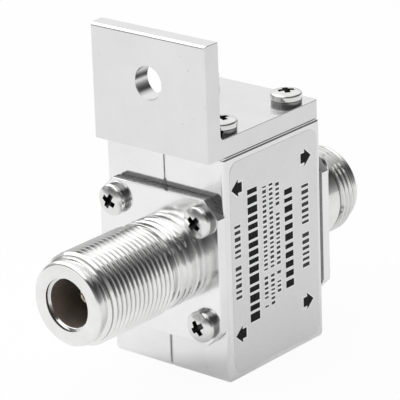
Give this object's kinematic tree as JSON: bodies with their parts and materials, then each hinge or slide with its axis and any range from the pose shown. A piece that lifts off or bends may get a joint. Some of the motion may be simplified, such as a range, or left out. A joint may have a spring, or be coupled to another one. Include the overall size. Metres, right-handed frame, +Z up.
{
  "type": "coax lightning arrestor",
  "caption": "Upright metal surge arrestor housing with an angle bracket on top, a long threaded coaxial socket in front, a short one behind and a side label.",
  "frame": {"origin": "centre of the housing's underside, on the surface that it stands on", "axes": "+Z up through the bracket, -Y out of the long antenna socket, +X out of the label"},
  "size_m": [0.0255, 0.0678, 0.0589],
  "materials": {
    "housing": "satin chromate over milled aluminium",
    "bracket": "satin extruded aluminium",
    "connector": "bright nickel plate over turned brass",
    "screws": "nickel-plated steel",
    "contact": "gold plate",
    "insulator": "white fluoropolymer",
    "gasket": "matte",
    "label": "grey metallised film with a pale print",
    "plate": "turned",
    "dielectric": "fired",
    "tube_ceramic": "fired alumina",
    "electrode": "nickel",
    "spring": "rolled strip"
  },
  "bodies": {
    "root": {"housing_right": "housing", "housing_left": "housing", "rating_label": "label", "mounting_bracket": "bracket", "bracket_screws": "screws", "antenna_flange_screws": "screws", "equipment_flange_screws": "screws", "antenna_gasket": "gasket", "equipment_gasket": "gasket", "antenna_connector_shell": "connector", "equipment_connector_shell": "connector", "antenna_insulator": "insulator", "equipment_insulator": "insulator", "antenna_contact": "contact", "equipment_contact": "contact", "capacitor_antenna_plate": "plate", "capacitor_dielectric": "dielectric", "capacitor_equipment_plate": "plate", "gas_tube_ceramic": "tube_ceramic", "gas_tube_line_electrode": "electrode", "gas_tube_ground_electrode": "electrode", "gas_tube_spring": "spring"}
  },
  "joints": []
}
